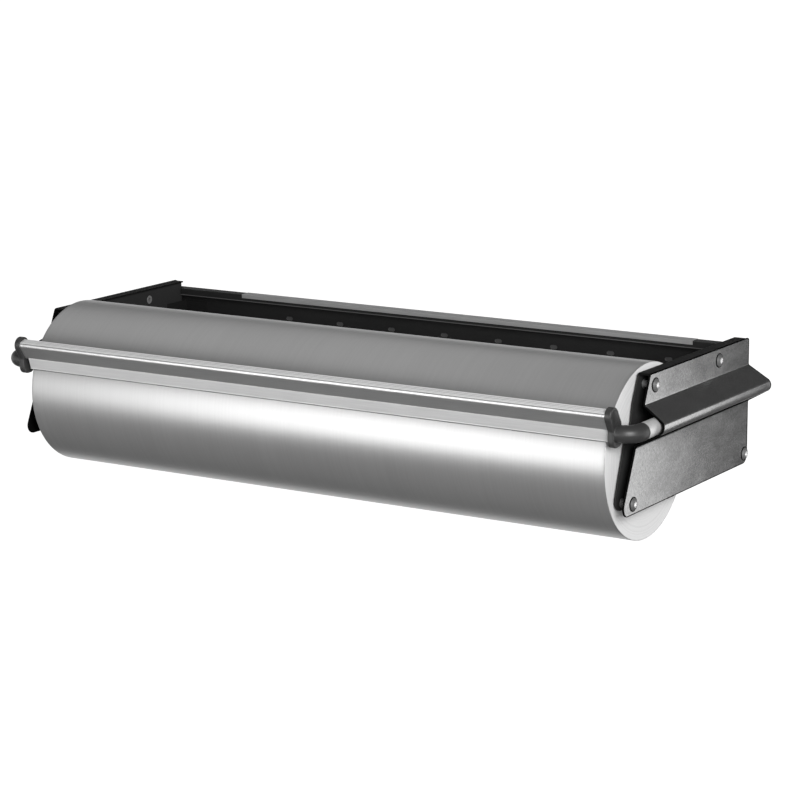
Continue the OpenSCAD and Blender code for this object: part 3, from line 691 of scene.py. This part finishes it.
# The sockets' bright colour is a painted glint.
painted_socket_glint = coat("painted_socket_glint", 0.70, 0.92, (0.25, 0.4), metal=0.35, scale=1600,
                   bump=0.00001, edge=0.0002, blotch=0.1)
heads = [skin("head", turned(head_line, sign, place, socket_rows), loop_cols=True, ends=True)
         for sign in (-1, 1) for place in screw_places]
screws = dress(joined("cover_screw_heads", heads, math.radians(40)), screw_plating, painted_socket_glint)
x, y, z = face_centres(screws).T
off = np.min([np.hypot(y - axis_y - place[0], z - axis_z - place[1]) for place in screw_places], 0)
give_slots(screws, (off < socket * 1.1) & (np.abs(x) > cover_face + 0.0008))
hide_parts("cover_screws")
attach(screws, "frame")
rings = [skin("ring", turned(washer_line, sign, place), loop_rows=True, loop_cols=True)
         for sign in (-1, 1) for place in screw_places]
# The washers' black is painted shadow round each screw head.
washers = dress(joined("cover_shade_washers", rings, math.radians(40)), black_powder)
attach(washers, "frame")

# ---- Axle, plugs, collars and core
# A ground steel axle carries the cardboard core on two ribbed plastic plugs. Two set collars, each with
# a small black set screw, keep the plugs from moving inwards.
dark_plastic = coat("dark_plastic", 0.032, 0.048, (0.36, 0.46), scale=2000,
                    bump=0.00004, edge=0.0007, wear=0.2, worn=0.14)
black_oxide = coat("black_oxide", 0.02, 0.05, (0.3, 0.5), metal=1.0, scale=900)
brown_board = coat("brown_board", (0.26, 0.19, 0.12), (0.42, 0.33, 0.22), (0.8, 0.95), scale=600,
                   stretch=(0.3, 1, 1), bump=0.0001, edge=0.0004)
dress_nodes(bright_zinc, "roll_axle", "axle_collars")
dress_nodes(black_oxide, "collar_screws")
dress_nodes(dark_plastic, "core_plug_left", "core_plug_right")
dress_nodes(brown_board, "roll_core")

# ---- Paper roll
# A full roll of gift wrap, silver on its outer side, wound tightly on the core. At both ends the white
# edges of the layers show as fine rings that stand a little in and out.
roll_half, roll_radius, core_radius = 0.3750, 0.0945, 0.0380


def wound_roll(name):
    """A body turned about the roll's axis: from the bore out over the left end, along the outer layer and
    in over the right end. On the ends, x gives way by up to 0.25 mm in rings of uneven width."""
    corner, deepest, turns_round = 0.0006, 0.00022, 240
    r = np.linspace(core_radius, roll_radius - corner, 90)
    seeded = np.random.default_rng(7)
    give = np.convolve(seeded.random(96), np.ones(7) / 7, "valid")
    give = 0.00005 + deepest * (give - give.min()) / (give.max() - give.min())
    turn = np.linspace(0, math.pi / 2, 5)[1:]
    left = np.stack([-roll_half + give, r], 1)
    left_edge = np.stack([-roll_half + give[-1] + corner * (1 - np.cos(turn)),
                          roll_radius - corner + corner * np.sin(turn)], 1)
    length = np.stack([np.linspace(-roll_half + 0.004, roll_half - 0.004, 60), np.full(60, roll_radius)], 1)
    half = np.vstack([left, left_edge])
    line = np.vstack([half, length, half[::-1] * [-1, 1]])
    a = np.linspace(0, 2 * math.pi, turns_round + 1)[None, :-1]
    x, r = np.repeat(line[:, :1], turns_round, 1), line[:, 1:]
    grid = np.stack([x, axis_y + r * np.cos(a), axis_z + r * np.sin(a)], -1)
    return skin(name, grid, loop_rows=True, loop_cols=True)


def silver_wrap():
    """Silver paper: streaks that run round the roll change its roughness and colour a little, and faint
    waves from winding raise it."""
    material, nodes, shader = blank_material("silver_wrap")
    streak = grain(nodes, 420.0, (1, 0.015, 0.015), 5.0, 1.8)
    wave = grain(nodes, 26.0, (1, 0.2, 0.2), 2.0, 1.4)
    fill(shader, {"Base Color": shaded(nodes, wave, tinted(nodes, streak, 0.50, 0.54), 0.95),
                  "Roughness": ramped(nodes, streak, 0.345, 0.385), "Metallic": 0.72,
                  "Normal": bumped(nodes, streak, 0.00001, bumped(nodes, wave, 0.00010))})
    return material


def paper_edges():
    """The layers seen from the end: noise along the distance from the axis, once fine and once broad,
    darkens the white and raises the rings."""
    material, nodes, shader = blank_material("paper_edges")
    shift = add(nodes, "Mapping", {0: object_place(nodes), "Location": (0, -axis_y, -axis_z),
                                   "Scale": (0, 1, 1)})
    away = add(nodes, "VectorMath", {0: shift.outputs[0]}, operation="LENGTH").outputs["Value"]
    rings = 0.0
    for scale, detail in ((420.0, 2.0), (5200.0, 3.0)):
        ring = add(nodes, "TexNoise", noise_dimensions="1D")
        fill(ring, {"W": away, "Scale": scale, "Detail": detail})
        rings = computed(nodes, "MULTIPLY_ADD", ring.outputs["Fac"], 0.5, rings)
    fill(shader, {"Base Color": tinted(nodes, rings, 0.66, 0.98),
                  "Roughness": ramped(nodes, rings, 0.75, 0.9), "Normal": bumped(nodes, rings, 0.0002)})
    return material


wrap = dress(joined("gift_wrap_roll", [wound_roll("turns")], math.radians(60)), silver_wrap(), paper_edges())
x, y, z = face_centres(wrap).T
give_slots(wrap, np.hypot(y - axis_y, z - axis_z) < roll_radius - 0.0003)
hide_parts("paper_roll")
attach(wrap, "roll")

# ---- Cutting bar
# A hollow extruded bar of satin aluminium with a rounded nose, three fine grooves along its upper edge
# and a leaning flange below that backs the blade. It spans the roll from cap to cap.
bar_half, edge_y, edge_z = 0.3808, axis_y - 0.0908, axis_z + 0.0276
bar_corners = np.array([(-11.4, 29.8), (-4.4, 15.1), (0.1, 17.7), (1.6, 31.3), (-6.0, 32.8)]) / 1000
bar_radii = np.array([4.2, 2.2, 2.2, 2.2, 3.0]) / 1000
groove_heights = np.array([0.0297, 0.0311, 0.0325])


def round_outline(spots, radii, arc=14, straight=12):
    """Closed outline round circles, counter-clockwise: on each circle the arc between its two common
    tangents, and between circles the straight tangent."""
    nxt, before = np.roll(spots, -1, 0), np.roll(spots, 1, 0)

    def leaving(p, q, rp, rq):
        """The direction from p, the centre of a circle of radius rp, to the point where the tangent to
        the circle of radius rq about q leaves it: s along the line between them and c to its right,
        with s the difference of the radii over the distance and c the root of 1 - s^2."""
        d = np.linalg.norm(q - p, axis=1)[:, None]
        u = (q - p) / d
        s = (rp - rq)[:, None] / d
        c = np.sqrt(1 - s * s)
        return np.concatenate([u[:, :1] * s + u[:, 1:] * c, u[:, 1:] * s - u[:, :1] * c], 1)

    go = leaving(spots, nxt, radii, np.roll(radii, -1))
    come = np.roll(go, 1, 0)
    a0 = np.arctan2(come[:, 1], come[:, 0])
    a1 = np.arctan2(go[:, 1], go[:, 0])
    a1 = a0 + np.mod(a1 - a0, 2 * math.pi)
    t = np.linspace(0, 1, arc)[None]
    a = a0[:, None] + (a1 - a0)[:, None] * t
    arcs = spots[:, None] + radii[:, None, None] * np.stack([np.cos(a), np.sin(a)], -1)
    start, end = arcs[:, -1], np.roll(arcs[:, 0], -1, 0)
    w = np.linspace(0, 1, straight + 2)[None, 1:-1, None]
    lines = start[:, None] * (1 - w) + end[:, None] * w
    return np.concatenate([arcs, lines], 1).reshape(-1, 2)


def seen_height(y, z):
    """The height at which the camera sees a point that lies y behind and z above the bar's edge."""
    return 0.978 * z + 0.206 * y


def cutting_bar(name):
    """The bar's outline, carried from end to end with its hollow inside. Three grooves press the front of
    its upper side in by 0.15 mm cos^2(90 deg (w - c) / 0.45 mm), where w is the seen height."""
    outer = round_outline(bar_corners, bar_radii, 70, 60)
    inner = round_outline(bar_corners, bar_radii - 0.0016, 70, 60)
    along = np.roll(outer, -1, 0) - np.roll(outer, 1, 0)
    outward = np.column_stack([along[:, 1], -along[:, 0]]) / np.linalg.norm(along, axis=1)[:, None]
    off = np.abs(seen_height(outer[:, 0], outer[:, 1])[:, None] - groove_heights) / 0.00045
    press = (0.00015 * np.where(off < 1, np.cos(off * math.pi / 2) ** 2, 0)).sum(1) * (outer[:, 0] < -0.0060)
    outer = outer - outward * press[:, None]
    edge = np.array([edge_y, edge_z])
    grid = np.concatenate([carried((-bar_half, bar_half), edge + outer),
                           carried((bar_half, -bar_half), edge + inner)])
    return skin(name, grid, loop_rows=True, loop_cols=True)


def leaning_strip(name, left, right, corners, radii):
    """Round corners (distance behind the edge's front, height along the strip) of a strip that leans
    forward by 16 degrees, carried along X from left to right."""
    outline = round_outline(np.array(corners), np.array(radii), 7, 3)
    lean = math.radians(16)
    y = outline[:, 0] * math.cos(lean) - outline[:, 1] * math.sin(lean)
    z = outline[:, 0] * math.sin(lean) + outline[:, 1] * math.cos(lean)
    line = np.column_stack([edge_y + y, edge_z + z])
    return skin(name, carried((left, right), line), loop_cols=True, ends=True)


def drawn_aluminium(name, dark, light, rough, metal, edge=0.00002, blotch=0.03):
    """Aluminium with the fine lines along X that the die leaves."""
    return coat(name, dark, light, rough, metal, 1400, (0.02, 1, 1), 0.00001, edge, blotch=blotch)


# The nose and the front are satin. The grooved strip above them is painted lighter and more diffuse as
# painted light, and its grooves are painted darker as painted shade.
satin_aluminium = drawn_aluminium("satin_aluminium", 0.70, 0.78, (0.42, 0.48), 1.0, blotch=0.05)
ribbed_painted_light_aluminium = drawn_aluminium("ribbed_painted_light_aluminium", 0.84, 0.94, (0.40, 0.50), 0.20)
groove_painted_shade_aluminium = drawn_aluminium("groove_painted_shade_aluminium", 0.52, 0.60, (0.40, 0.50), 0.20)
bar = dress(joined("grooved_cutting_bar", [cutting_bar("shell")], math.radians(30)),
            satin_aluminium, ribbed_painted_light_aluminium, groove_painted_shade_aluminium)
x, y, z = face_centres(bar).T
seen = seen_height(y - edge_y, z - edge_z)
# The upper strip is painted lighter as painted light, and its grooves are painted darker as painted shade.
painted_light_strip = (y < edge_y - 0.0040) & (seen > 0.0286)
painted_groove_shade = (np.abs(seen[:, None] - groove_heights) < 0.00030).any(1)
give_slots(bar, painted_light_strip * (1 + painted_groove_shade))
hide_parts("cutting_bar")

# The flange is blasted matt, and a bead of 0.55 mm radius stiffens its lower edge. Its left end is cut
# back for the foot of the cap.
flange_left = -bar_half + 0.0052
matt_aluminium = drawn_aluminium("matt_aluminium", 0.68, 0.78, (0.42, 0.52), 0.35, edge=0.0002)
plate_corners = [(-0.0009, 0.0154), (-0.0022, 0.0154), (-0.0019, 0.0020), (-0.0012, 0.0020)]
bead_corners = [(-0.0021, 0.0023), (-0.0021, 0.0021), (-0.00205, 0.0022)]
plate = leaning_strip("plate", flange_left, bar_half, plate_corners, [0.0001, 0.0001, 0.0004, 0.0004])
bead = leaning_strip("bead", flange_left, bar_half, bead_corners, [0.00055, 0.00055, 0.00055])
flange = joined("bar_flange", [plate, bead], math.radians(30))
dress(flange, matt_aluminium)
for part in (bar, flange):
    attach(part, "cutter")

# ---- Cutting blade
# A thin strip of hardened steel behind the flange, with a plain ground edge that stands 1.6 mm below it.
blade_steel = coat("blade_steel", (0.22, 0.22, 0.23), (0.40, 0.40, 0.41), (0.22, 0.36), metal=1.0,
                   scale=1500, stretch=(0.03, 1, 1), bump=0.00001, edge=0.0002)
dress_nodes(blade_steel, "cutting_blade")

# ---- End caps
# Moulded caps of dark plastic close the bar. Each has a round head over the bar's nose, a narrow waist
# in front, and a foot that takes the elbow's peg.
cap_in, cap_out = 0.3808, 0.3878
head_spots = np.array([(-7.8, 29.5), (-1.8, 15.4), (3.6, 18.9)]) / 1000
head_radii = np.array([9.2, 7.6, 5.2]) / 1000
foot_spots = np.array([(-1.6, 13.9), (-1.7, 2.4), (3.6, 0.7), (3.7, 17.9)]) / 1000
foot_radii = np.array([7.7, 7.2, 5.3, 5.2]) / 1000


def cap_reach(angles, middle):
    """Distance from middle to the edge of head and foot together: on each ray, the farthest crossing
    with either outline, softened over a few degrees as a mould would."""
    ray = np.stack([np.cos(angles), np.sin(angles)], 1)
    reach = np.zeros(len(angles))
    for spots, radii in ((head_spots, head_radii), (foot_spots, foot_radii)):
        p = round_outline(spots, radii, 24, 6) - middle
        q = np.roll(p, -1, 0)
        e = q - p
        cross = ray[:, :1] * e[None, :, 1] - ray[:, 1:] * e[None, :, 0]
        cross = np.where(np.abs(cross) < 1e-12, 1e-12, cross)
        far = (p[None, :, 0] * e[None, :, 1] - p[None, :, 1] * e[None, :, 0]) / cross
        part = (p[None, :, 0] * ray[:, 1:] - p[None, :, 1] * ray[:, :1]) / cross
        hit = np.where((part >= -1e-9) & (part <= 1 + 1e-9) & (far > 0), far, 0)
        reach = np.maximum(reach, hit.max(1))
    kernel = np.hanning(9)[1:-1] / np.hanning(9)[1:-1].sum()
    return np.convolve(np.concatenate([reach[-3:], reach, reach[:3]]), kernel, "valid")


def end_cap(name, sign):
    """The cap's outline, carried across its thickness and drawn in at both faces by a quarter round."""
    middle = np.array([-0.0005, 0.0165])
    a = np.linspace(0, 2 * math.pi, 181)[:-1]
    reach = cap_reach(a, middle)
    turn = np.linspace(0, math.pi / 2, 6)
    inner_round, outer_round = 0.0005, 0.0014
    rows = [(inner_round * (1 - math.sin(t)), cap_in + inner_round * (1 - math.cos(t))) for t in turn]
    rows += [(outer_round * (1 - math.cos(t)), cap_out - outer_round * (1 - math.sin(t))) for t in turn]
    rows += [(0.0030, cap_out), (0.0034, cap_out - 0.0003)]
    y, z = edge_y + middle[0], edge_z + middle[1]
    grid = np.stack([np.column_stack([np.full(len(a), sign * x), y + (reach - inset) * np.cos(a),
                                      z + (reach - inset) * np.sin(a)]) for inset, x in rows])
    return skin(name, grid, loop_cols=True, ends=True)


for side, sign in (("left", -1), ("right", 1)):
    cap = dress(joined("bar_cap_" + side, [end_cap("shell", sign)], math.radians(40)), dark_plastic)
    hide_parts("end_cap_" + side)
    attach(cap, "cutter")

# ---- Elbows
# Moulded elbows of the same dark plastic lead from the caps back to the arm tubes. They widen a little
# towards the tube, and the mould has left a fine parting line along the middle. Each is held in its
# cap by a black steel screw.
arm_x, leg_y, mouth_y, peg = 0.4045, axis_y - 0.0901, axis_y - 0.0690, 0.0004


def elbow(name, sign):
    """A circle carried along a quarter turn and a short straight, from the cap to the tube. Its radius
    grows from 9.2 to 9.6 mm, flares at the cap and turns in at the mouth, and a hump of 0.1 mm marks the
    parting line at the angles 0 and 180 degrees."""
    bend = arm_x - cap_out - 0.0005
    path = [(cap_out - peg, leg_y, 0.0), (cap_out, leg_y, 0.0), (cap_out + peg, leg_y, 0.0)]
    path += [(cap_out + 0.0005 + bend * math.sin(t), leg_y + bend * (1 - math.cos(t)), t)
             for t in np.linspace(0, math.pi / 2, 29)]
    straight = [*np.linspace(leg_y + bend, mouth_y - 0.0007, 6)[1:],
                mouth_y - 0.0004, mouth_y - 0.0001, mouth_y, mouth_y]
    path = np.array(path + [(arm_x, y, math.pi / 2) for y in straight])
    radius = np.interp(np.arange(len(path)), [0, len(path) - 1], [0.0092, 0.0096])
    radius[:3] += np.array([0.0004, 0.0003, 0.0001])
    radius[-4:] -= np.array([0.0001, 0.0003, 0.0005, 0.0006])
    b = np.linspace(0, 2 * math.pi, 73)[None, :-1]
    r = radius[:, None] + 0.0001 * np.exp(-(np.sin(b) / 0.06) ** 2)
    x = path[:, :1] + r * np.cos(b) * np.sin(path[:, 2:])
    y = path[:, 1:2] - r * np.cos(b) * np.cos(path[:, 2:])
    z = ridge_z + r * np.sin(b)
    return skin(name, np.stack([sign * x, y, z], -1), loop_cols=True, ends=True)


for side, sign in (("left", -1), ("right", 1)):
    bow = dress(joined("arm_elbow_" + side, [elbow("bend", sign)], math.radians(50)), dark_plastic)
    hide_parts("elbow_" + side)
    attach(bow, "cutter")
dress_nodes(black_oxide, "elbow_screws")

# ---- Arm tubes
# Drawn aluminium tubes, blasted and clear anodised to a dull light skin. They slide in the guides inside
# the boxes and carry the bar. A plug of dark plastic closes the back of each and takes the spring's push.
dull_anodised = coat("dull_anodised", 0.74, 0.86, (0.42, 0.52), metal=0.45, scale=1500,
                     stretch=(1, 0.2, 1), bump=0.00003, edge=0.0004, blotch=0.08)
dress_nodes(dull_anodised, "arm_tube_left", "arm_tube_right")
dress_nodes(dark_plastic, "tube_plug_left", "tube_plug_right")
